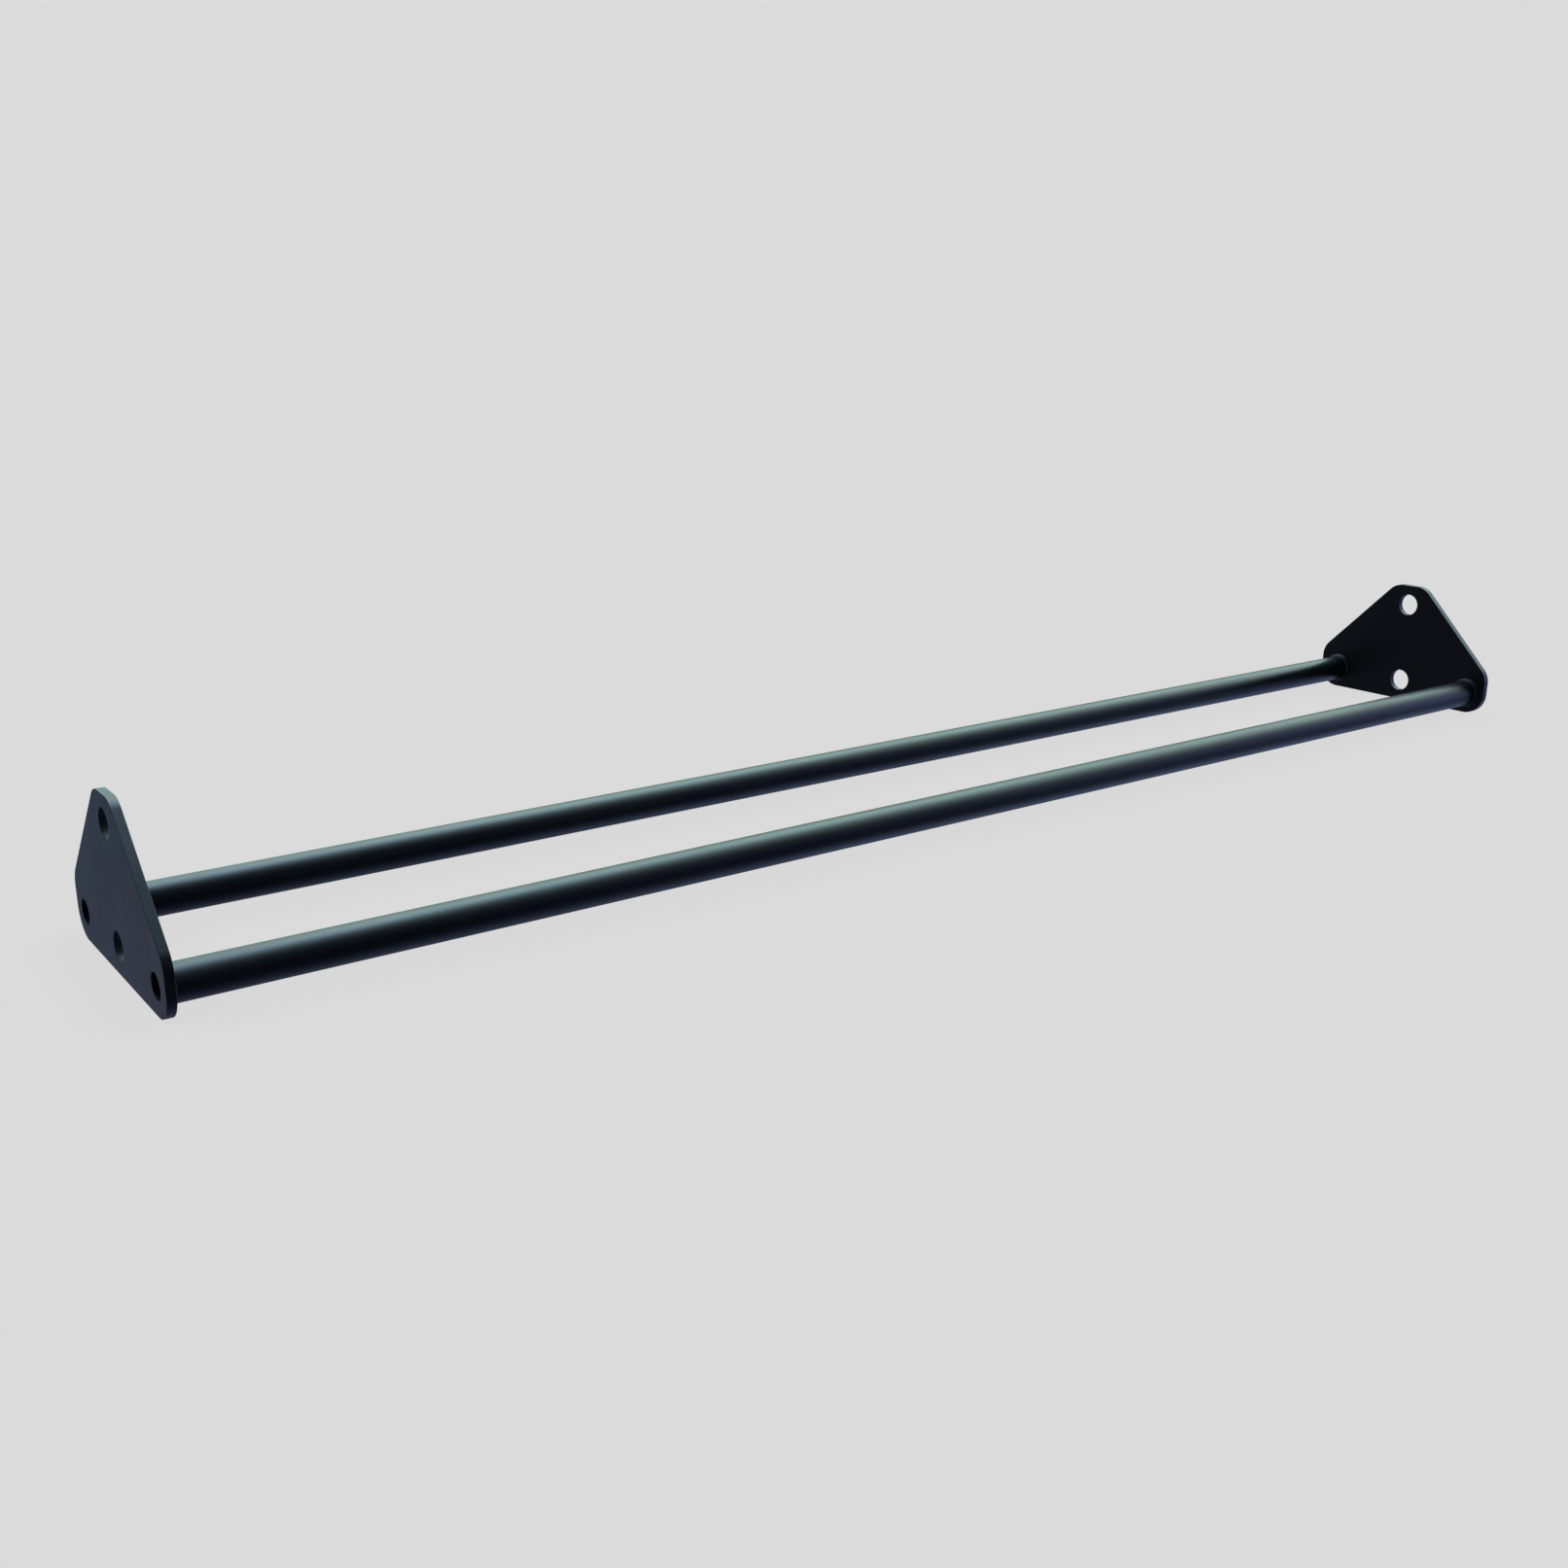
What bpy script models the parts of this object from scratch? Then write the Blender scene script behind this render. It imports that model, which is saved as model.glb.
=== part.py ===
"""Double pull-up bar: two parallel round bars welded between two upright end plates.

Metres, +Z up. The bars run along X, the front bar lies at -Y and the rear bar at +Y.
The origin is under the middle of the part, at the height of the plates' bottom edges.
"""

import math

import bmesh
import bpy
from mathutils import Matrix, Vector

INCH = 0.0254

# Driving dimensions
BAR_DIAMETER = 1.25 * INCH  # a hand's grip
BAR_WALL = 0.12 * INCH  # 11 gauge
BAR_SPACING = 0.195  # from axis to axis
CLEAR_SPAN = 66 * INCH  # between the inner faces of the end plates
PLATE_THICKNESS = 0.3125 * INCH
CORNER_RADIUS = 1 * INCH
BOLT_PITCH = 4 * INCH  # from the top hole down to the line of the bars
BOLT_HOLE_DIAMETER = 1.0625 * INCH  # clearance for one inch bolts
VENT_HOLE_DIAMETER = 0.9 * INCH  # over the bar ends
SHOULDER_RISE = 0.6 * INCH  # straight part of a plate's side, above the bar axis
TOP_HALF_FLAT = 0.0106  # half of the straight part of a plate's top edge
WELD_LEG = 0.0032
WELD_CROWN = 0.0004  # how far the middle of the bead stands above its chord
JOINT_GAP = 0.0003  # between pieces that touch

# Smoothness of the round shapes
BAR_SEGMENTS = 64
HOLE_SEGMENTS = 48
WELD_SEGMENTS = 48
ARC_STEP = math.radians(7.5)
WELD_FACE_STEPS = 4
SHARP_ANGLE = math.radians(35)

BAR_RADIUS = BAR_DIAMETER / 2
BAR_HEIGHT = CORNER_RADIUS  # the plates' bottom corners are centred on the bars
SHOULDER_HEIGHT = BAR_HEIGHT + SHOULDER_RISE
TOP_HOLE_HEIGHT = BAR_HEIGHT + BOLT_PITCH  # and the height of the top corners' centres
HALF_SPACING = BAR_SPACING / 2
HALF_SPAN = CLEAR_SPAN / 2

ENDS = {"left": -1, "right": 1}
BARS = {"front": -HALF_SPACING, "rear": HALF_SPACING}


def clear_scene():
    """Remove every object that the scene holds."""
    for obj in list(bpy.data.objects):
        bpy.data.objects.remove(obj, do_unlink=True)


def powder_coat(name, color, roughness):
    """A dark painted metal."""
    material = bpy.data.materials.new(name)
    material.use_nodes = True
    shader = material.node_tree.nodes["Principled BSDF"]
    shader.inputs["Base Color"].default_value = (*color, 1.0)
    shader.inputs["Roughness"].default_value = roughness
    shader.inputs["Metallic"].default_value = 0.0
    return material


def add_object(name, bm, material=None):
    """Turn a bmesh into a named object with smooth round faces and sharp edges."""
    bmesh.ops.recalc_face_normals(bm, faces=bm.faces)
    mesh = bpy.data.meshes.new(name)
    bm.to_mesh(mesh)
    bm.free()
    mesh.shade_smooth()
    mesh.set_sharp_from_angle(angle=SHARP_ANGLE)
    if material:
        mesh.materials.append(material)
    obj = bpy.data.objects.new(name, mesh)
    bpy.context.scene.collection.objects.link(obj)
    return obj


def plate_outline():
    """Points (y, z) round a plate: the hexagon of its corner centres, offset by the corner radius."""
    rear_half = [
        (HALF_SPACING, BAR_HEIGHT),
        (HALF_SPACING, SHOULDER_HEIGHT),
        (TOP_HALF_FLAT, TOP_HOLE_HEIGHT),
    ]
    front_half = [(-y, z) for y, z in reversed(rear_half)]
    centres = [Vector(centre) for centre in rear_half + front_half]
    points = []
    for i, centre in enumerate(centres):
        arriving = centre - centres[i - 1]
        leaving = centres[(i + 1) % len(centres)] - centre
        start = math.atan2(arriving.y, arriving.x) - math.pi / 2
        turn = (math.atan2(leaving.y, leaving.x) - math.pi / 2 - start) % math.tau
        steps = max(2, round(turn / ARC_STEP))
        for k in range(steps + 1):
            angle = start + turn * k / steps
            points.append(centre + CORNER_RADIUS * Vector((math.cos(angle), math.sin(angle))))
    return points


def hole_cutter(name, middle):
    """The four bores of a plate in one cutter, longer than the plate is thick."""
    bm = bmesh.new()
    along_x = Matrix.Rotation(math.pi / 2, 4, "Y")
    bores = [(0.0, z, BOLT_HOLE_DIAMETER) for z in (TOP_HOLE_HEIGHT, BAR_HEIGHT)]
    bores += [(y, BAR_HEIGHT, VENT_HOLE_DIAMETER) for y in BARS.values()]
    for y, z, diameter in bores:
        bmesh.ops.create_cone(
            bm,
            cap_ends=True,
            segments=HOLE_SEGMENTS,
            radius1=diameter / 2,
            radius2=diameter / 2,
            depth=3 * PLATE_THICKNESS,
            matrix=Matrix.Translation((0.0, y, z)) @ along_x,
        )
    cutter = add_object(name, bm)
    cutter.location.x = middle
    cutter.hide_render = True
    cutter.display_type = "WIRE"
    return cutter


def end_plate(side, material):
    """One end plate, cut from flat steel, with its bores."""
    bm = bmesh.new()
    outline = [bm.verts.new((-PLATE_THICKNESS / 2, y, z)) for y, z in plate_outline()]
    face = bm.faces.new(outline)
    grown = bmesh.ops.extrude_face_region(bm, geom=[face])
    moved = [item for item in grown["geom"] if isinstance(item, bmesh.types.BMVert)]
    bmesh.ops.translate(bm, verts=moved, vec=(PLATE_THICKNESS, 0.0, 0.0))
    plate = add_object(side + "_end_plate", bm, material)
    middle = ENDS[side] * (HALF_SPAN + PLATE_THICKNESS / 2)
    plate.location.x = middle
    bores = plate.modifiers.new("bores", "BOOLEAN")
    bores.operation = "DIFFERENCE"
    bores.solver = "EXACT"
    bores.object = hole_cutter(side + "_hole_cutter", middle)


def turned_ring(name, profile, segments, material):
    """A solid turned about X from a closed profile of (x, radius) points."""
    bm = bmesh.new()
    verts = [bm.verts.new((x, 0.0, radius)) for x, radius in profile]
    edges = [bm.edges.new((verts[i - 1], verts[i])) for i in range(len(verts))]
    bmesh.ops.spin(
        bm,
        geom=verts + edges,
        cent=(0.0, 0.0, 0.0),
        axis=(1.0, 0.0, 0.0),
        angle=math.tau,
        steps=segments,
        use_merge=True,
    )
    return add_object(name, bm, material)


def bar(name, material):
    """One round tube, open at both ends."""
    half = HALF_SPAN - JOINT_GAP
    bore = BAR_RADIUS - BAR_WALL
    profile = [(-half, bore), (-half, BAR_RADIUS), (half, BAR_RADIUS), (half, bore)]
    tube = turned_ring(name + "_bar", profile, BAR_SEGMENTS, material)
    tube.location = (0.0, BARS[name], BAR_HEIGHT)


def weld(bar_name, side, material):
    """The fillet weld round one bar end, with a slightly crowned face."""
    inward = -ENDS[side]
    root = BAR_RADIUS + JOINT_GAP
    profile = [(inward * JOINT_GAP, root)]
    for k in range(WELD_FACE_STEPS + 1):
        share = k / WELD_FACE_STEPS
        crown = WELD_CROWN * math.sin(math.pi * share) / math.sqrt(2)
        along = JOINT_GAP + WELD_LEG * share + crown
        out = root + WELD_LEG * (1 - share) + crown
        profile.append((inward * along, out))
    ring = turned_ring(bar_name + "_" + side + "_weld", profile, WELD_SEGMENTS, material)
    ring.location = (ENDS[side] * HALF_SPAN, BARS[bar_name], BAR_HEIGHT)


def build():
    """Make every piece of the part."""
    clear_scene()
    plate_coat = powder_coat("plate_coat", (0.008, 0.008, 0.010), 0.38)
    bar_coat = powder_coat("bar_coat", (0.006, 0.006, 0.008), 0.36)
    weld_coat = powder_coat("weld_coat", (0.007, 0.007, 0.009), 0.39)
    for side in ENDS:
        end_plate(side, plate_coat)
    for name in BARS:
        bar(name, bar_coat)
        for side in ENDS:
            weld(name, side, weld_coat)


build()
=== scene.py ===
"""Double pull-up bar: two round grip bars welded between two drilled end plates, powder coated black.

Metres, +Z up. The bars run along X, the front bar lies at -Y and the plates stand on z = 0.
"""

import logging
import math
from dataclasses import dataclass
from enum import Enum

import bmesh
import bpy
from mathutils import Matrix, Vector


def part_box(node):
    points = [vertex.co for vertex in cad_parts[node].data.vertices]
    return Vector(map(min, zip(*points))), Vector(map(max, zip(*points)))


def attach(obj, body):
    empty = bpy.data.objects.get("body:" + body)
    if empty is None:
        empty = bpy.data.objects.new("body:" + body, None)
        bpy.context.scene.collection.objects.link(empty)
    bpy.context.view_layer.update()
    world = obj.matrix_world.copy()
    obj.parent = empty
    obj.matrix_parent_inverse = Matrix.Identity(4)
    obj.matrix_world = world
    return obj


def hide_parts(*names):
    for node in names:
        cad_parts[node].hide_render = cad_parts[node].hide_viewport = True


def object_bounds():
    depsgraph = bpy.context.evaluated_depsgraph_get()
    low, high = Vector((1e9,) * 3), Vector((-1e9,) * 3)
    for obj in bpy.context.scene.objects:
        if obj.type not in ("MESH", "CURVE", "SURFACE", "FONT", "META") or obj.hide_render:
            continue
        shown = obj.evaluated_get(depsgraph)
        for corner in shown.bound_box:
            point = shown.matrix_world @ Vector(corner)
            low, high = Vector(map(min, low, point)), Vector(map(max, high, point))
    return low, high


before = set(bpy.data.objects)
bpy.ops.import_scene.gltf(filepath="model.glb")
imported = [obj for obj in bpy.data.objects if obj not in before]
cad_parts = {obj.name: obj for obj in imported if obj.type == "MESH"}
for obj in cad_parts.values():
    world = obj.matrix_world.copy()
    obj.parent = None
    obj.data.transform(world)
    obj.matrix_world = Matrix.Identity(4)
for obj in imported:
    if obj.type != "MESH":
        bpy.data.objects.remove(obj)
CAD_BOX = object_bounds()

LOG = logging.getLogger("pull_up_bar")
MM = 0.001
TURN_AXIS = Vector((1.0, 0.0, 0.0))
QUARTER_TURN = math.pi / 2
NOISE_FINENESS = 0.55  # how strongly the finer layers of a noise show

Colour = tuple[float, float, float]
Point = tuple[float, float, float]
Value = float | tuple[float, ...] | bpy.types.NodeSocket


class Side(Enum):
    """The two ends of the part, valued by their sign along X."""

    LEFT = -1
    RIGHT = 1


class Lane(Enum):
    """The two grip bars, valued by their sign along Y."""

    FRONT = -1
    REAR = 1


class Bench:
    """Adds nodes to one node tree and joins them."""

    def __init__(self, tree: bpy.types.NodeTree) -> None:
        """Work on the given tree."""
        self.tree = tree

    def feed(self, socket: bpy.types.NodeSocket, value: Value) -> None:
        """Join a socket to another one, or set its number or colour.

        Args:
            socket: The input to fill.
            value: An output socket, a number or the parts of a vector or colour.
        """
        if isinstance(value, bpy.types.NodeSocket):
            self.tree.links.new(value, socket)
        else:
            socket.default_value = value

    def add(self, kind: str, inputs: dict[int | str, Value], **settings: object) -> bpy.types.Node:
        """Add one node.

        Args:
            kind: Blender's name for the node.
            inputs: What goes into its inputs, by number or name.
            settings: Its other settings.

        Returns:
            The new node.
        """
        node = self.tree.nodes.new(kind)
        for name, setting in settings.items():
            setattr(node, name, setting)
        for key, value in inputs.items():
            self.feed(node.inputs[key], value)
        return node

    def sum(self, operation: str, *terms: Value) -> bpy.types.NodeSocket:
        """Add a Math node and give its result.

        Args:
            operation: The operation, such as MULTIPLY.
            terms: Its one, two or three inputs.

        Returns:
            The result's socket.
        """
        return self.add("ShaderNodeMath", dict(enumerate(terms)), operation=operation).outputs[0]

    def noise(self, position: Value, size: Value, layers: float) -> bpy.types.NodeSocket:
        """Add cloudy noise.

        Args:
            position: Where on the piece the pattern is read.
            size: The width of one cloud, in metres.
            layers: How many finer layers it carries.

        Returns:
            The noise, about 0.5 in the mean.
        """
        scale = self.sum("DIVIDE", 1.0, size)
        inputs = {"Vector": position, "Scale": scale, "Detail": layers, "Roughness": NOISE_FINENESS}
        return self.add("ShaderNodeTexNoise", inputs).outputs[0]

    def smooth(self, value: Value, low: Value, high: Value) -> bpy.types.NodeSocket:
        """Add a soft step.

        Args:
            value: What is compared.
            low: Where the step begins.
            high: Where it ends.

        Returns:
            0 below the step and 1 above it.
        """
        inputs = {"Value": value, "From Min": low, "From Max": high}
        node = self.add("ShaderNodeMapRange", inputs, interpolation_type="SMOOTHSTEP")
        return node.outputs[0]

    def mix(self, share: Value, first: Value, second: Value) -> bpy.types.NodeSocket:
        """Mix two colours.

        Args:
            share: How much of the second colour shows.
            first: The first colour.
            second: The second colour.

        Returns:
            The mixed colour.
        """
        node = self.add("ShaderNodeMix", {0: share, 6: first, 7: second}, data_type="RGBA")
        return node.outputs[2]


class Effect:
    """A surface effect that several finishes share, as one node group."""

    name = "effect"
    inputs: dict[str, float | None] = {}
    outputs: tuple[str, ...] = ()

    def wire(self, bench: Bench, given: dict[str, bpy.types.NodeSocket]) -> list[bpy.types.NodeSocket]:
        """Make the group's inside.

        Args:
            bench: Where its nodes go.
            given: The group's inputs by name.

        Returns:
            What comes out, in the order of the outputs.
        """
        raise NotImplementedError

    def group(self) -> bpy.types.NodeTree:
        """Make the node group, once.

        Returns:
            The group, with an input of None being a position.
        """
        known = bpy.data.node_groups.get(self.name)
        if known:
            return known
        tree = bpy.data.node_groups.new(self.name, "ShaderNodeTree")
        for name, value in self.inputs.items():
            kind = "NodeSocketVector" if value is None else "NodeSocketFloat"
            socket = tree.interface.new_socket(name=name, in_out="INPUT", socket_type=kind)
            if value is not None:
                socket.default_value = value
        for name in self.outputs:
            tree.interface.new_socket(name=name, in_out="OUTPUT", socket_type="NodeSocketFloat")
        bench = Bench(tree)
        entry = bench.add("NodeGroupInput", {})
        given = {name: entry.outputs[name] for name in self.inputs}
        results = self.wire(bench, given)
        bench.add("NodeGroupOutput", dict(zip(self.outputs, results)))
        return tree

    def place(self, bench: Bench, inputs: dict[str, Value]) -> bpy.types.Node:
        """Put the effect in a material.

        Args:
            bench: The material's nodes.
            inputs: The values for this material.

        Returns:
            The group's node.
        """
        node = bench.tree.nodes.new("ShaderNodeGroup")
        node.node_tree = self.group()
        for name, value in inputs.items():
            bench.feed(node.inputs[name], value)
        return node


class OrangePeel(Effect):
    """The soft waves and fine grit of cured powder."""

    name = "orange_peel"
    inputs = {"Position": None, "Wave Size": 1.6 * MM, "Grit Size": 0.35 * MM, "Grit Share": 0.2}
    outputs = ("Height",)
    wave_layers = 1.0
    grit_layers = 0.0

    def wire(self, bench: Bench, given: dict[str, bpy.types.NodeSocket]) -> list[bpy.types.NodeSocket]:
        """Lay fine grit over soft waves.

        Args:
            bench: Where the group's nodes go.
            given: The group's inputs by name.

        Returns:
            The height, on its own in a list.
        """
        waves = bench.noise(given["Position"], given["Wave Size"], self.wave_layers)
        grit = bench.noise(given["Position"], given["Grit Size"], self.grit_layers)
        gritty = bench.sum("MULTIPLY", grit, given["Grit Share"])
        return [bench.sum("ADD", waves, gritty)]


class Drift(Effect):
    """Slow changes of film thickness over a piece, which shift its tone and gloss."""

    name = "film_drift"
    inputs = {"Position": None, "Cloud Size": 60 * MM, "Mottle Size": 4 * MM}
    outputs = ("Cloud", "Mottle")
    cloud_layers = 2.0
    mottle_layers = 3.0
    stretch = 4.0

    def wire(self, bench: Bench, given: dict[str, bpy.types.NodeSocket]) -> list[bpy.types.NodeSocket]:
        """Make a broad and a fine pattern, each from about -1 to 1.

        Args:
            bench: Where the group's nodes go.
            given: The group's inputs by name.

        Returns:
            The clouds and the mottle.
        """
        results = []
        for size, layers in (("Cloud Size", self.cloud_layers), ("Mottle Size", self.mottle_layers)):
            clouds = bench.noise(given["Position"], given[size], layers)
            results.append(bench.sum("MULTIPLY_ADD", clouds, self.stretch, -self.stretch / 2))
        return results


class RimRub(Effect):
    """Powder draws back from an edge as it cures, and handling polishes it there."""

    name = "rim_rub"
    inputs = {"Position": None, "Rim": 0.0, "Patch Size": 9 * MM, "Reach": 0.5}
    outputs = ("Thin", "Rubbed")
    patch_layers = 4.0
    patch_softness = 0.18
    crown_start = 0.55

    def wire(self, bench: Bench, given: dict[str, bpy.types.NodeSocket]) -> list[bpy.types.NodeSocket]:
        """Thin the film on each rim, and rub it in patches.

        Args:
            bench: Where the group's nodes go.
            given: The group's inputs by name.

        Returns:
            How thin the film is, and where it is rubbed.
        """
        patches = bench.noise(given["Position"], given["Patch Size"], self.patch_layers)
        start = bench.sum("SUBTRACT", 1.0, given["Reach"])
        open_patches = bench.smooth(patches, start, bench.sum("ADD", start, self.patch_softness))
        crown = bench.smooth(given["Rim"], self.crown_start, 1.0)
        return [given["Rim"], bench.sum("MULTIPLY", crown, open_patches)]


class SettledDust(Effect):
    """A trace of dust on whatever faces up."""

    name = "settled_dust"
    inputs = {"Position": None, "Patch Size": 30 * MM, "Speck Size": 0.9 * MM}
    outputs = ("Film", "Specks")
    steepest = 0.35
    film_layers = 3.0
    film_band = (0.35, 0.70)
    speck_layers = 1.0
    speck_band = (0.72, 0.80)

    def wire(self, bench: Bench, given: dict[str, bpy.types.NodeSocket]) -> list[bpy.types.NodeSocket]:
        """Lay a thin film and a few specks on upward faces.

        Args:
            bench: Where the group's nodes go.
            given: The group's inputs by name.

        Returns:
            The film and the specks.
        """
        normal = bench.add("ShaderNodeNewGeometry", {}).outputs["Normal"]
        upward = bench.add("ShaderNodeSeparateXYZ", {0: normal}).outputs[2]
        facing = bench.smooth(upward, self.steepest, 1.0)
        film = bench.noise(given["Position"], given["Patch Size"], self.film_layers)
        patches = bench.smooth(film, *self.film_band)
        dots = bench.noise(given["Position"], given["Speck Size"], self.speck_layers)
        specks = bench.smooth(dots, *self.speck_band)
        return [bench.sum("MULTIPLY", facing, patches), bench.sum("MULTIPLY", facing, specks)]


@dataclass(frozen=True)
class PowderCoat:
    """Satin black powder coat, and how far it departs from an even film."""

    name: str
    slot: str
    tone: Colour
    roughness: float
    refraction: float = 1.5
    wave_size: float = 1.6 * MM
    wave_depth: float = 0.009 * MM
    grit_share: float = 0.25
    cloud_size: float = 60 * MM
    tone_drift: float = 0.10
    gloss_drift: float = 0.028
    mottle: float = 0.020
    rim_gain: float = 0.35
    rim_lift: float = 2.2
    rub_reach: float = 0.42
    rub_gloss: float = 0.06
    bore_tone: Colour = (0.006, 0.008, 0.012)
    bore_dullness: float = 0.09
    dust: float = 0.012
    speck_gain: float = 2.0
    dust_tone: Colour = (0.30, 0.29, 0.27)

    def material(self) -> bpy.types.Material:
        """Build the finish.

        Returns:
            The material, which reads Object coordinates and the piece's own rim and bore attributes.
        """
        material = bpy.data.materials.new(self.name)
        material.use_nodes = True
        bench = Bench(material.node_tree)
        shader = material.node_tree.nodes["Principled BSDF"]
        shader.inputs["Metallic"].default_value = 0.0
        shader.inputs["IOR"].default_value = self.refraction
        position = bench.add("ShaderNodeTexCoord", {}).outputs["Object"]
        rim = bench.add("ShaderNodeAttribute", {}, attribute_name="rim").outputs["Fac"]
        bore = bench.add("ShaderNodeAttribute", {}, attribute_name="bore").outputs["Fac"]
        drift = Drift().place(bench, {"Position": position, "Cloud Size": self.cloud_size})
        rub_inputs = {"Position": position, "Rim": rim, "Reach": self.rub_reach}
        rub = RimRub().place(bench, rub_inputs)
        dust = SettledDust().place(bench, {"Position": position})
        film = bench.mix(bore, self._colour(bench, drift, rub, dust), (*self.bore_tone, 1.0))
        gloss = self._gloss(bench, drift, rub, dust)
        bench.feed(shader.inputs["Base Color"], film)
        bench.feed(shader.inputs["Roughness"], bench.sum("MULTIPLY_ADD", bore, self.bore_dullness, gloss))
        peel_inputs = {
            "Position": position,
            "Wave Size": self.wave_size,
            "Grit Share": self.grit_share,
        }
        peel = OrangePeel().place(bench, peel_inputs)
        bump_inputs = {"Strength": 1.0, "Distance": self.wave_depth, "Height": peel.outputs["Height"]}
        bump = bench.add("ShaderNodeBump", bump_inputs)
        bench.feed(shader.inputs["Normal"], bump.outputs[0])
        return material

    def _colour(
        self, bench: Bench, drift: bpy.types.Node, rub: bpy.types.Node, dust: bpy.types.Node
    ) -> bpy.types.NodeSocket:
        """Colour the film: darker and lighter clouds, paler rims, and a trace of dust.

        Args:
            bench: The material's nodes.
            drift: The film's slow changes.
            rub: The rims' wear.
            dust: What has settled.

        Returns:
            The colour's socket.
        """
        tone = Vector(self.tone)
        dark = (*(tone * (1 - self.tone_drift)), 1.0)
        light = (*(tone * (1 + self.tone_drift)), 1.0)
        share = bench.sum("MULTIPLY_ADD", drift.outputs["Cloud"], 0.5, 0.5)
        colour = bench.mix(share, dark, light)
        thin = bench.sum("MULTIPLY", rub.outputs["Thin"], self.rim_gain)
        colour = bench.mix(thin, colour, (*(tone * self.rim_lift), 1.0))
        settled = bench.sum("MULTIPLY_ADD", dust.outputs["Specks"], self.speck_gain, dust.outputs["Film"])
        share = bench.sum("MULTIPLY", settled, self.dust)
        return bench.mix(share, colour, (*self.dust_tone, 1.0))

    def _gloss(
        self, bench: Bench, drift: bpy.types.Node, rub: bpy.types.Node, dust: bpy.types.Node
    ) -> bpy.types.NodeSocket:
        """Vary the gloss: cloudy, finely mottled, smoother where rubbed and duller under dust.

        Args:
            bench: The material's nodes.
            drift: The film's slow changes.
            rub: The rims' wear.
            dust: What has settled.

        Returns:
            The roughness socket.
        """
        rough = bench.sum("MULTIPLY_ADD", drift.outputs["Cloud"], self.gloss_drift, self.roughness)
        rough = bench.sum("MULTIPLY_ADD", drift.outputs["Mottle"], self.mottle, rough)
        rough = bench.sum("MULTIPLY_ADD", rub.outputs["Rubbed"], -self.rub_gloss, rough)
        return bench.sum("MULTIPLY_ADD", dust.outputs["Film"], self.dust, rough)


PLATE_FINISH = PowderCoat("plate_powder", "plate_coat", (0.008, 0.008, 0.010), 0.38)
BAR_FINISH = PowderCoat("bar_powder", "bar_coat", (0.006, 0.006, 0.008), 0.36, cloud_size=90 * MM)
WELD_FINISH = PowderCoat("weld_powder", "weld_coat", (0.007, 0.007, 0.009), 0.39, wave_size=1.1 * MM)


def finish_piece(name: str, bm: bmesh.types.BMesh, coat: PowderCoat, node: str) -> bpy.types.Object:
    """Turn a bmesh into a coated piece that stands for one CAD node.

    Args:
        name: The piece's name.
        bm: Its shape, in place.
        coat: Its finish.
        node: The CAD node that it replaces.

    Returns:
        The new object.
    """
    bmesh.ops.recalc_face_normals(bm, faces=bm.faces)
    for face in bm.faces:
        face.smooth = True
    mesh = bpy.data.meshes.new(name)
    bm.to_mesh(mesh)
    bm.free()
    material = bpy.data.materials.get(coat.name) or coat.material()
    mesh.materials.append(material)
    piece = bpy.data.objects.new(name, mesh)
    bpy.context.scene.collection.objects.link(piece)
    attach(piece, "root")
    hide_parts(node)
    mesh.calc_loop_triangles()
    LOG.info("%s: %d triangles, stands for %s", name, len(mesh.loop_triangles), node)
    return piece


def turn_profile(profile: list[Vector], centre: Vector, segments: int) -> bmesh.types.BMesh:
    """Turn a closed profile once round an axis along X.

    Args:
        profile: Its points (x, 0, radius), counted from the centre.
        centre: A point on the axis.
        segments: How many faces go round.

    Returns:
        The turned shape.
    """
    bm = bmesh.new()
    verts = [bm.verts.new(centre + point) for point in profile]
    edges = [bm.edges.new((verts[i - 1], verts[i])) for i in range(len(verts))]
    bmesh.ops.spin(
        bm,
        geom=verts + edges,
        cent=centre,
        axis=TURN_AXIS,
        angle=math.tau,
        steps=segments,
        use_merge=True,
    )
    return bm


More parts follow.
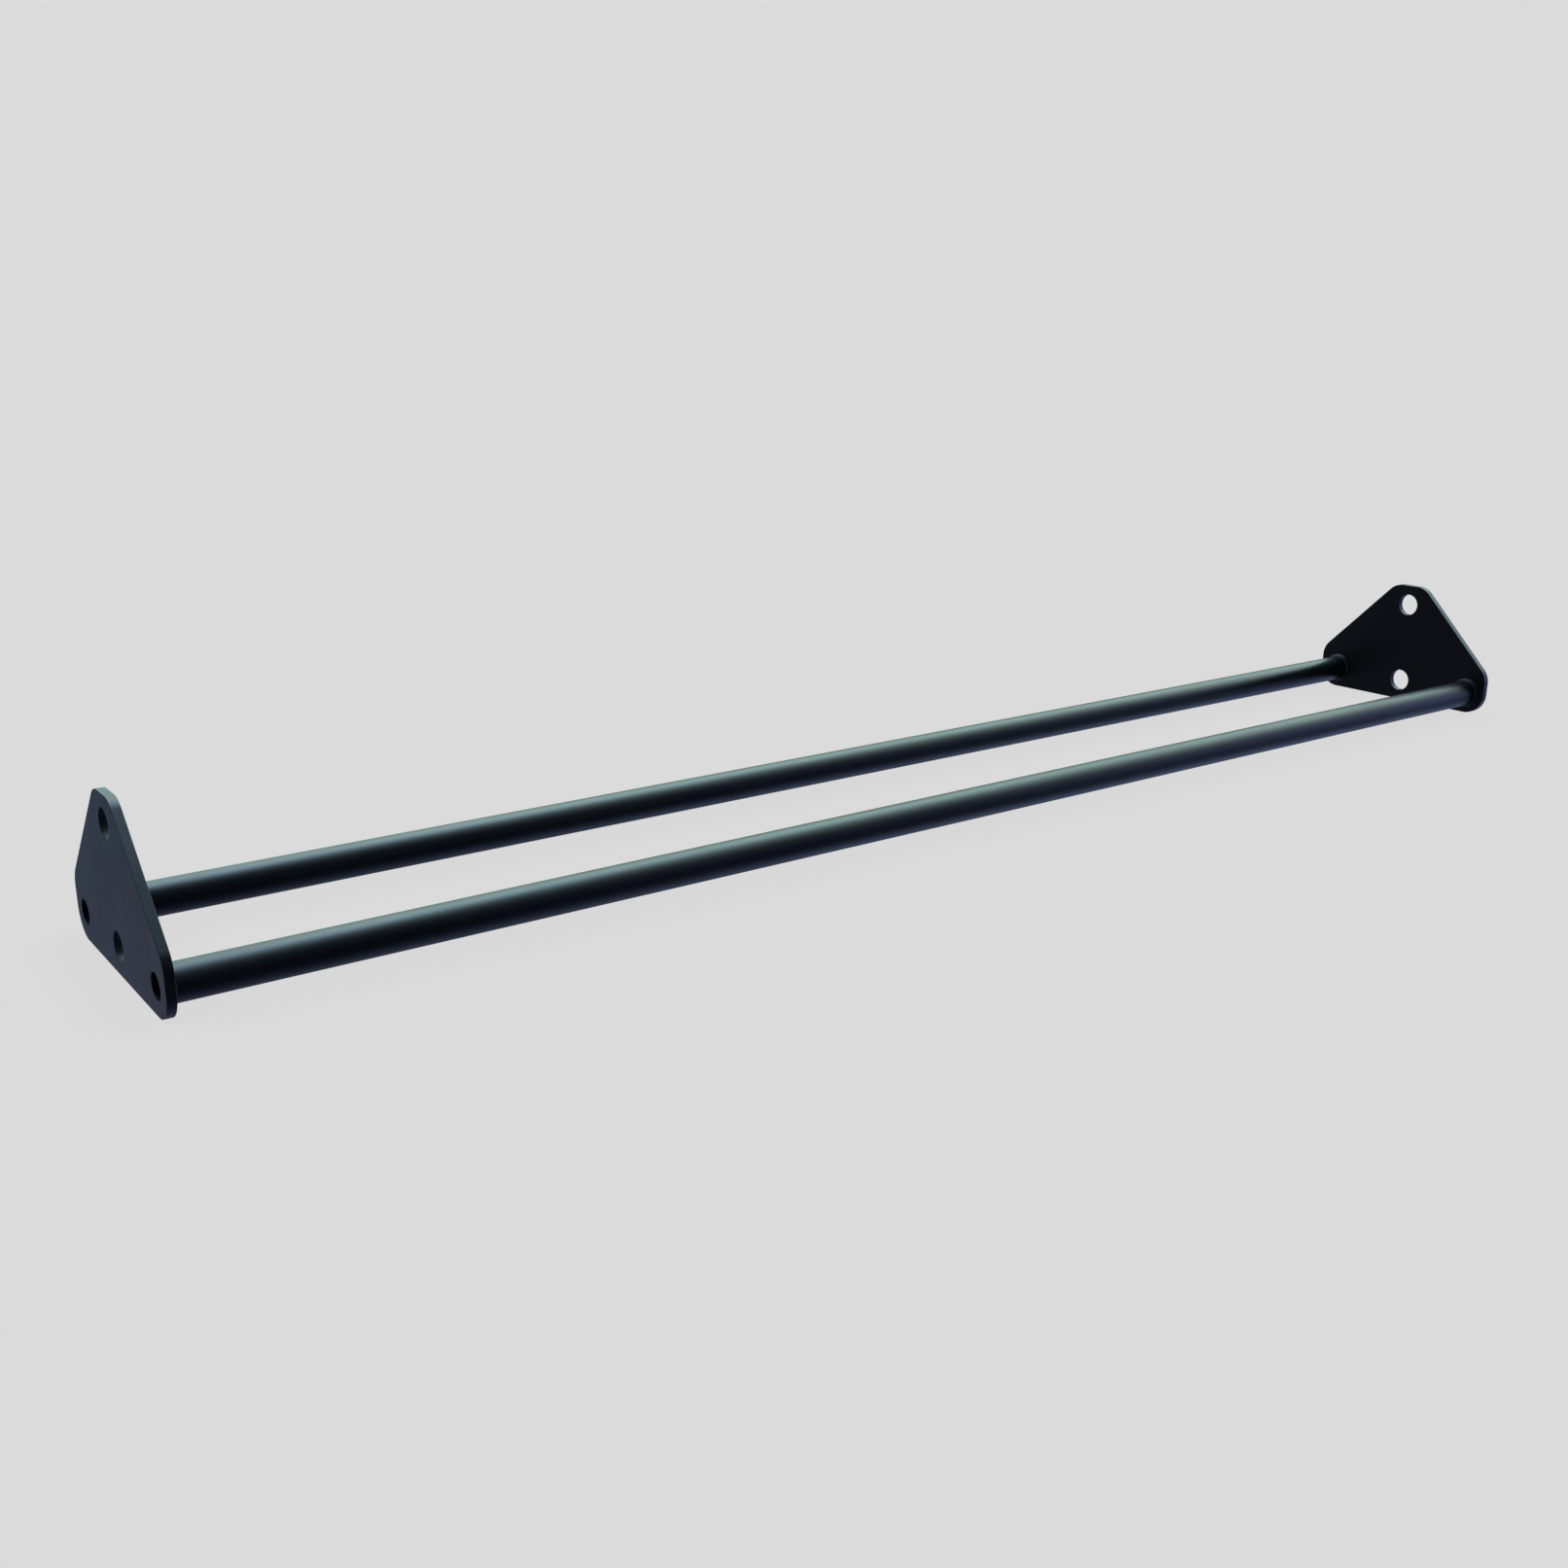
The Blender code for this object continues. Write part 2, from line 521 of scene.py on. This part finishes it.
@dataclass
class EndPlate:
    """One upright end plate: flat steel, cut round, with four holes and softly rounded rims."""

    side: Side
    corner_radius: float = 25.4 * MM
    shoulder_rise: float = 15.24 * MM
    top_half_flat: float = 10.6 * MM
    bolt_pitch: float = 101.6 * MM
    bolt_hole_radius: float = 13.494 * MM
    vent_hole_radius: float = 11.43 * MM
    rim_radius: float = 0.3 * MM
    rim_steps: int = 5
    rim_side_mark: float = 0.6
    rim_flat_mark: float = 0.3
    holding_band: float = 0.35 * MM
    arc_step: float = math.radians(3.0)
    fewest_arc_steps: int = 3
    hole_segments: int = 96
    flat_facing: float = 0.99
    coat: PowderCoat = PLATE_FINISH

    def __post_init__(self) -> None:
        """Read the plate's place from its CAD node."""
        self.node = self.side.name.lower() + "_end_plate"
        self.low, self.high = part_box(self.node)

    @property
    def bar_height(self) -> float:
        """The height of the bars' axes, where the lower corners are centred."""
        return self.low.z + self.corner_radius

    @property
    def half_pitch(self) -> float:
        """Half of the distance between the bars' axes."""
        return (self.high.y - self.low.y) / 2 - self.corner_radius

    def corner_centres(self) -> list[Vector]:
        """Find the centres of the six round corners.

        Returns:
            The centres, anticlockwise seen from +X.
        """
        shoulder = self.bar_height + self.shoulder_rise
        top = self.bar_height + self.bolt_pitch
        rear = [
            (self.half_pitch, self.bar_height),
            (self.half_pitch, shoulder),
            (self.top_half_flat, top),
        ]
        front = [(-y, z) for y, z in reversed(rear)]
        return [Vector((0.0, y, z)) for y, z in rear + front]

    def draw_outline(self, bm: bmesh.types.BMesh) -> None:
        """Draw the plate's outline: an arc spun round each corner's centre, joined by straight runs.

        Args:
            bm: The plate's bmesh.
        """
        centres = self.corner_centres()
        ends = []
        for i, centre in enumerate(centres):
            arriving = centre - centres[i - 1]
            leaving = centres[(i + 1) % len(centres)] - centre
            outward = TURN_AXIS.cross(arriving).normalized() * -self.corner_radius
            turn = arriving.angle(leaving)
            first = bmesh.ops.create_vert(bm, co=centre + outward)["vert"][0]
            swept = bmesh.ops.spin(
                bm,
                geom=[first],
                cent=centre,
                axis=TURN_AXIS,
                angle=turn,
                steps=max(self.fewest_arc_steps, round(turn / self.arc_step)),
            )
            last = next(item for item in swept["geom_last"] if isinstance(item, bmesh.types.BMVert))
            ends.append((first, last))
        for i, (first, _) in enumerate(ends):
            bm.edges.new((ends[i - 1][1], first))

    def draw_holes(self, bm: bmesh.types.BMesh) -> None:
        """Draw the two bolt holes and the holes over the bars' ends, and mark their walls.

        Args:
            bm: The plate's bmesh.
        """
        bore = bm.verts.layers.float["bore"]
        holes = [
            (0.0, self.bar_height + self.bolt_pitch, self.bolt_hole_radius),
            (0.0, self.bar_height, self.bolt_hole_radius),
            (-self.half_pitch, self.bar_height, self.vent_hole_radius),
            (self.half_pitch, self.bar_height, self.vent_hole_radius),
        ]
        upright = Matrix.Rotation(QUARTER_TURN, 4, "Y")
        for y, z, radius in holes:
            circle = bmesh.ops.create_circle(
                bm,
                cap_ends=False,
                segments=self.hole_segments,
                radius=radius,
                matrix=Matrix.Translation((0.0, y, z)) @ upright,
            )
            for vert in circle["verts"]:
                vert[bore] = 1.0

    def thicken(self, bm: bmesh.types.BMesh) -> None:
        """Extrude the flat shape into a wall that stops short of both rounded rims.

        Args:
            bm: The plate's bmesh, holding the flat shape at x = 0.
        """
        wall = self.high.x - self.low.x - 2 * self.rim_radius
        bmesh.ops.translate(bm, verts=bm.verts, vec=(self.low.x + self.rim_radius, 0.0, 0.0))
        faces = list(bm.faces)
        for depth in (self.holding_band, wall - 2 * self.holding_band, self.holding_band):
            edges = {edge for face in faces for edge in face.edges}
            grown = bmesh.ops.extrude_face_region(bm, geom=[*faces, *edges])["geom"]
            moved = [item for item in grown if isinstance(item, bmesh.types.BMVert)]
            bmesh.ops.translate(bm, verts=moved, vec=TURN_AXIS * depth)
            faces = [item for item in grown if isinstance(item, bmesh.types.BMFace)]

    def round_rims(self, bm: bmesh.types.BMesh) -> None:
        """Inset both flat sides step by step round a quarter circle, at every edge and hole.

        The rim mark rises to 1 halfway round the arc, where powder is thinnest.

        Args:
            bm: The plate's bmesh, as a closed wall.
        """
        bmesh.ops.recalc_face_normals(bm, faces=bm.faces)
        rim = bm.verts.layers.float["rim"]
        bore = bm.verts.layers.float["bore"]
        angles = [QUARTER_TURN * k / self.rim_steps for k in range(self.rim_steps + 1)]
        for sign in (-1, 1):
            flats = [face for face in bm.faces if face.normal.x * sign > self.flat_facing]
            corners = {vert for face in flats for vert in face.verts}
            for vert in corners:
                vert[rim] = self.rim_side_mark
            for before, after in zip(angles, angles[1:]):
                bm.normal_update()
                bmesh.ops.inset_region(
                    bm,
                    faces=flats,
                    use_boundary=True,
                    use_even_offset=True,
                    thickness=self.rim_radius * (math.cos(before) - math.cos(after)),
                    depth=self.rim_radius * (math.sin(after) - math.sin(before)),
                )
                least = self.rim_side_mark if after < QUARTER_TURN else self.rim_flat_mark
                for vert in {vert for face in flats for vert in face.verts}:
                    vert[rim] = max(least, math.sin(before + after))
                    vert[bore] = 0.0
            bmesh.ops.inset_region(
                bm,
                faces=flats,
                use_boundary=True,
                use_even_offset=True,
                thickness=self.holding_band,
                depth=0.0,
            )
            for vert in {vert for face in flats for vert in face.verts}:
                vert[rim] = 0.0

    def build(self) -> bpy.types.Object:
        """Make the plate.

        Returns:
            The plate's object.
        """
        bm = bmesh.new()
        for mark in ("rim", "bore"):
            bm.verts.layers.float.new(mark)
        self.draw_outline(bm)
        self.draw_holes(bm)
        bmesh.ops.triangle_fill(bm, use_beauty=True, edges=bm.edges, normal=TURN_AXIS)
        self.thicken(bm)
        self.round_rims(bm)
        return finish_piece(self.side.name.lower() + "_plate", bm, self.coat, self.node)


@dataclass
class GripBar:
    """One round tube, open at both ends, which butts against the end plates."""

    lane: Lane
    wall: float = 3.048 * MM
    eased_end: float = 0.4 * MM
    segments: int = 160
    sharp_angle: float = math.radians(30)
    coat: PowderCoat = BAR_FINISH

    def __post_init__(self) -> None:
        """Read the bar's place from its CAD node and the plates' inner faces."""
        self.node = self.lane.name.lower() + "_bar"
        low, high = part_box(self.node)
        self.radius = (high.z - low.z) / 2
        self.axis = Vector((0.0, (low.y + high.y) / 2, (low.z + high.z) / 2))
        self.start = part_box("left_end_plate")[1].x
        self.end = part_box("right_end_plate")[0].x

    def profile(self) -> list[Vector]:
        """Draw the tube's wall in section, with the bore's ends eased.

        Returns:
            Its points (x, 0, radius), in order.
        """
        bore = self.radius - self.wall
        ease = self.eased_end
        points = [
            (self.start, bore + ease),
            (self.start, self.radius),
            (self.end, self.radius),
            (self.end, bore + ease),
            (self.end - ease, bore),
            (self.start + ease, bore),
        ]
        return [Vector((x, 0.0, radius)) for x, radius in points]

    def build(self) -> bpy.types.Object:
        """Make the tube.

        Returns:
            The bar's object.
        """
        bm = turn_profile(self.profile(), self.axis, self.segments)
        name = self.lane.name.lower() + "_grip_bar"
        piece = finish_piece(name, bm, self.coat, self.node)
        piece.data.set_sharp_from_angle(angle=self.sharp_angle)
        return piece


TIE_IN_ANGLES = {Lane.FRONT: math.radians(-140), Lane.REAR: math.radians(-35)}


@dataclass
class WeldBead:
    """The fillet weld round one bar end: stacked ripples, with a start that the stop runs over."""

    lane: Lane
    side: Side
    leg: float = 3.2 * MM
    crown: float = 0.35 * MM
    buried: float = 0.15 * MM
    least_face: float = 0.001 * MM
    face_steps: int = 10
    segments: int = 336
    ripples: int = 46
    ripple_height: float = 0.12 * MM
    ripple_lag: float = 1.9
    wander: float = 0.09 * MM
    slow_waves: int = 3
    quick_waves: int = 7
    quick_share: float = 0.6
    quick_start: float = 1.3
    toe_wander: float = 0.25
    tie_in_height: float = 0.35 * MM
    tie_in_half_angle: float = math.radians(9)
    tie_in_foot: float = 0.35
    sharp_angle: float = math.radians(60)
    coat: PowderCoat = WELD_FINISH

    def __post_init__(self) -> None:
        """Read the bead's place from its bar and its plate."""
        self.node = "_".join((self.lane.name.lower(), self.side.name.lower(), "weld"))
        low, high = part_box(self.lane.name.lower() + "_bar")
        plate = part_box(self.side.name.lower() + "_end_plate")
        self.radius = (high.z - low.z) / 2
        face = plate[1].x if self.side is Side.LEFT else plate[0].x
        self.root = Vector((face, (low.y + high.y) / 2, (low.z + high.z) / 2))
        self.inward = -self.side.value
        self.tie_in = TIE_IN_ANGLES[self.lane]

    def profile(self) -> list[Vector]:
        """Draw the bead in section: its root, then its face from the plate to the bar.

        Returns:
            Its points (x, 0, radius) counted from the bar's end, in order.
        """
        points = [Vector((-self.buried * self.inward, 0.0, self.radius - self.buried))]
        for k in range(self.face_steps + 1):
            share = k / self.face_steps
            bulge = self.crown * math.sin(math.pi * share) / math.sqrt(2)
            along = self.leg * share + bulge
            out = self.leg * (1 - share) + bulge
            points.append(Vector((self.inward * along, 0.0, self.radius + out)))
        return points

    def lift(self, angle: float, middle: float) -> float:
        """Height of the ripples, the wandering toes and the tie-in over the plain bead.

        Args:
            angle: Where the point lies round the bar.
            middle: 0 at either toe and 1 at the middle of the bead's face.

        Returns:
            How far the point is raised.
        """
        phase = self.ripples * angle - self.ripple_lag * middle * self.side.value
        ripple = self.ripple_height * (0.5 + 0.5 * math.sin(phase)) ** 2 * middle
        slow = math.sin(self.slow_waves * angle + self.tie_in)
        quick = math.sin(self.quick_waves * angle + self.quick_start)
        drift = self.wander * (slow + self.quick_share * quick)
        gap = math.remainder(angle - self.tie_in, math.tau) / self.tie_in_half_angle
        lump = self.tie_in_height * math.exp(-gap * gap)
        foot = self.tie_in_foot + (1 - self.tie_in_foot) * middle
        toe = self.toe_wander + (1 - self.toe_wander) * middle
        return ripple + lump * foot + drift * toe

    def lay_ripples(self, bm: bmesh.types.BMesh) -> None:
        """Raise the bead's face square to its chord, everywhere round the bar.

        Args:
            bm: The bead's bmesh, about the bar's axis.
        """
        diagonal = Vector((self.inward, 1.0)).normalized()
        for vert in bm.verts:
            offset = vert.co - self.root
            out = math.hypot(offset.y, offset.z) - self.radius
            along = offset.x * self.inward
            if along < 0 or out < 0:
                continue
            share = along / max(along + out, self.least_face)
            middle = math.sin(math.pi * min(share, 1.0))
            lift = self.lift(math.atan2(offset.z, offset.y), middle)
            radial = Vector((0.0, offset.y, offset.z)).normalized()
            vert.co += TURN_AXIS * diagonal.x * lift + radial * diagonal.y * lift

    def build(self) -> bpy.types.Object:
        """Make the bead.

        Returns:
            The bead's object.
        """
        bm = turn_profile(self.profile(), self.root, self.segments)
        self.lay_ripples(bm)
        name = "_".join((self.lane.name.lower(), self.side.name.lower(), "bead"))
        piece = finish_piece(name, bm, self.coat, self.node)
        piece.data.set_sharp_from_angle(angle=self.sharp_angle)
        return piece


@dataclass(frozen=True)
class Glow:
    """One soft patch of light in the surroundings, brightest in the middle and fading all round."""

    name: str
    towards: Point
    tightness: float
    colour: Colour

    def wire(self, bench: Bench, direction: Value, under: Value) -> bpy.types.NodeSocket:
        """Add the patch to what the surroundings give so far.

        Args:
            bench: The world's nodes.
            direction: Where a ray goes.
            under: The light so far.

        Returns:
            The light with this patch added.
        """
        middle = tuple(Vector(self.towards).normalized())
        facing = bench.add("ShaderNodeVectorMath", {0: direction, 1: middle}, operation="DOT_PRODUCT")
        near = bench.sum("MULTIPLY_ADD", facing.outputs["Value"], self.tightness, -self.tightness)
        share = bench.sum("EXPONENT", near)
        inputs = {0: self.colour, "Scale": share}
        lit = bench.add("ShaderNodeVectorMath", inputs, operation="SCALE", label=self.name)
        both = bench.add("ShaderNodeVectorMath", {0: lit.outputs[0], 1: under}, operation="ADD")
        return both.outputs[0]


@dataclass
class Studio:
    """The pale floor, the even backdrop, the soft lights and the camera."""

    backdrop: float = 0.708
    floor_half: float = 60.0
    floor_drop: float = 0.2 * MM
    shade_reach: float = 90 * MM
    shade_depth: float = 0.06
    shade_samples: int = 16
    ambient: Colour = (0.008, 0.005, 0.012)
    glows: tuple[Glow, ...] = (
        Glow("softbox", (0.42, 0.39, 0.82), 11.3, (1.22, 3.28, 2.25)),
        Glow("softbox_right", (0.68, 0.3, 0.67), 16.0, (1.97, 2.23, 2.19)),
        Glow("softbox_back", (0.25, 0.75, 0.6), 14.0, (1.8, 1.85, 1.4)),
        Glow("softbox_top", (0.2, 0.3, 0.93), 14.0, (2.46, 2.7, 5.29)),
        Glow("right_fill", (0.83, -0.08, 0.55), 20.0, (1.8, 2.45, 2.35)),
        Glow("right_wall", (0.95, -0.3, 0.11), 20.0, (0.82, 1.02, 2.07)),
        Glow("back_wall", (0.12, 0.99, 0.1), 20.0, (0.45, 1.2, 1.55)),
        Glow("left_softbox", (-0.5, 0.45, 0.74), 13.0, (0.55, 0.7, 0.8)),
        Glow("left_wall", (-0.95, -0.3, 0.05), 18.0, (0.14, 0.175, 0.22)),
        Glow("left_fill", (-0.75, -0.62, -0.15), 10.0, (0.14, 0.17, 0.21)),
        Glow("floor_right", (0.72, 0.0, -0.69), 7.0, (0.33, 0.455, 0.785)),
        Glow("floor_behind", (-0.3, 0.6, -0.74), 7.0, (0.38, 0.42, 0.64)),
    )
    camera_place: Point = (-1.1453, -1.2853, 0.5093)
    heading: float = math.radians(35.47)
    pitch: float = math.radians(17.49)
    sensor_width: float = 36.0
    lens: float = 38.106
    shift: tuple[float, float] = (0.01839, 0.02743)
    sight: tuple[float, float] = (0.01, 200.0)

    def lay_floor(self) -> None:
        """Lay a pale floor, shaded a little where something stands close over it."""
        bm = bmesh.new()
        bmesh.ops.create_grid(bm, x_segments=1, y_segments=1, size=self.floor_half)
        bmesh.ops.translate(bm, verts=bm.verts, vec=(0.0, 0.0, CAD_BOX[0].z - self.floor_drop))
        mesh = bpy.data.meshes.new("floor")
        bm.to_mesh(mesh)
        bm.free()
        material = bpy.data.materials.new("pale_floor")
        material.use_nodes = True
        material.node_tree.nodes.clear()
        bench = Bench(material.node_tree)
        shade = bench.add("ShaderNodeAmbientOcclusion", {"Distance": self.shade_reach})
        shade.samples = self.shade_samples
        share = bench.sum("MULTIPLY_ADD", shade.outputs["AO"], self.shade_depth, 1 - self.shade_depth)
        tone = bench.sum("MULTIPLY", share, self.backdrop)
        glow = bench.add("ShaderNodeEmission", {"Strength": tone})
        bench.add("ShaderNodeOutputMaterial", {"Surface": glow.outputs[0]})
        mesh.materials.append(material)
        floor = bpy.data.objects.new("floor", mesh)
        floor.visible_diffuse = False
        floor.visible_glossy = False
        floor.visible_shadow = False
        bpy.context.scene.collection.objects.link(floor)

    def surround(self) -> None:
        """Show the backdrop's tone behind the floor, and light the pieces with soft glows."""
        world = bpy.data.worlds.new("studio")
        world.use_nodes = True
        world.node_tree.nodes.clear()
        bench = Bench(world.node_tree)
        seen = bench.add("ShaderNodeBackground", {"Color": (self.backdrop,) * 3 + (1.0,)})
        direction = bench.add("ShaderNodeTexCoord", {}).outputs["Generated"]
        light: Value = self.ambient
        for glow in self.glows:
            light = glow.wire(bench, direction, light)
        lit = bench.add("ShaderNodeBackground", {"Color": light})
        path = bench.add("ShaderNodeLightPath", {}).outputs["Is Camera Ray"]
        both = bench.add("ShaderNodeMixShader", {0: path, 1: lit.outputs[0], 2: seen.outputs[0]})
        bench.add("ShaderNodeOutputWorld", {"Surface": both.outputs[0]})
        bpy.context.scene.world = world

    def place_camera(self) -> None:
        """Stand the camera in front of the left end, looking down along the bars."""
        data = bpy.data.cameras.new("camera")
        data.sensor_width = self.sensor_width
        data.lens = self.lens
        data.shift_x, data.shift_y = self.shift
        data.clip_start, data.clip_end = self.sight
        camera = bpy.data.objects.new("camera", data)
        camera.location = self.camera_place
        camera.rotation_euler = (QUARTER_TURN - self.pitch, 0.0, -self.heading)
        bpy.context.scene.collection.objects.link(camera)
        bpy.context.scene.camera = camera

    def build(self) -> None:
        """Set up the whole studio."""
        self.lay_floor()
        self.surround()
        self.place_camera()
        bpy.context.scene.view_settings.view_transform = "Standard"


def main() -> None:
    """Build the plates, the bars, their welds and the studio."""
    logging.basicConfig(level=logging.INFO, format="%(name)s: %(message)s")
    for side in Side:
        EndPlate(side).build()
    for lane in Lane:
        GripBar(lane).build()
        for side in Side:
            WeldBead(lane, side).build()
    Studio().build()


if __name__ == "__main__":
    main()
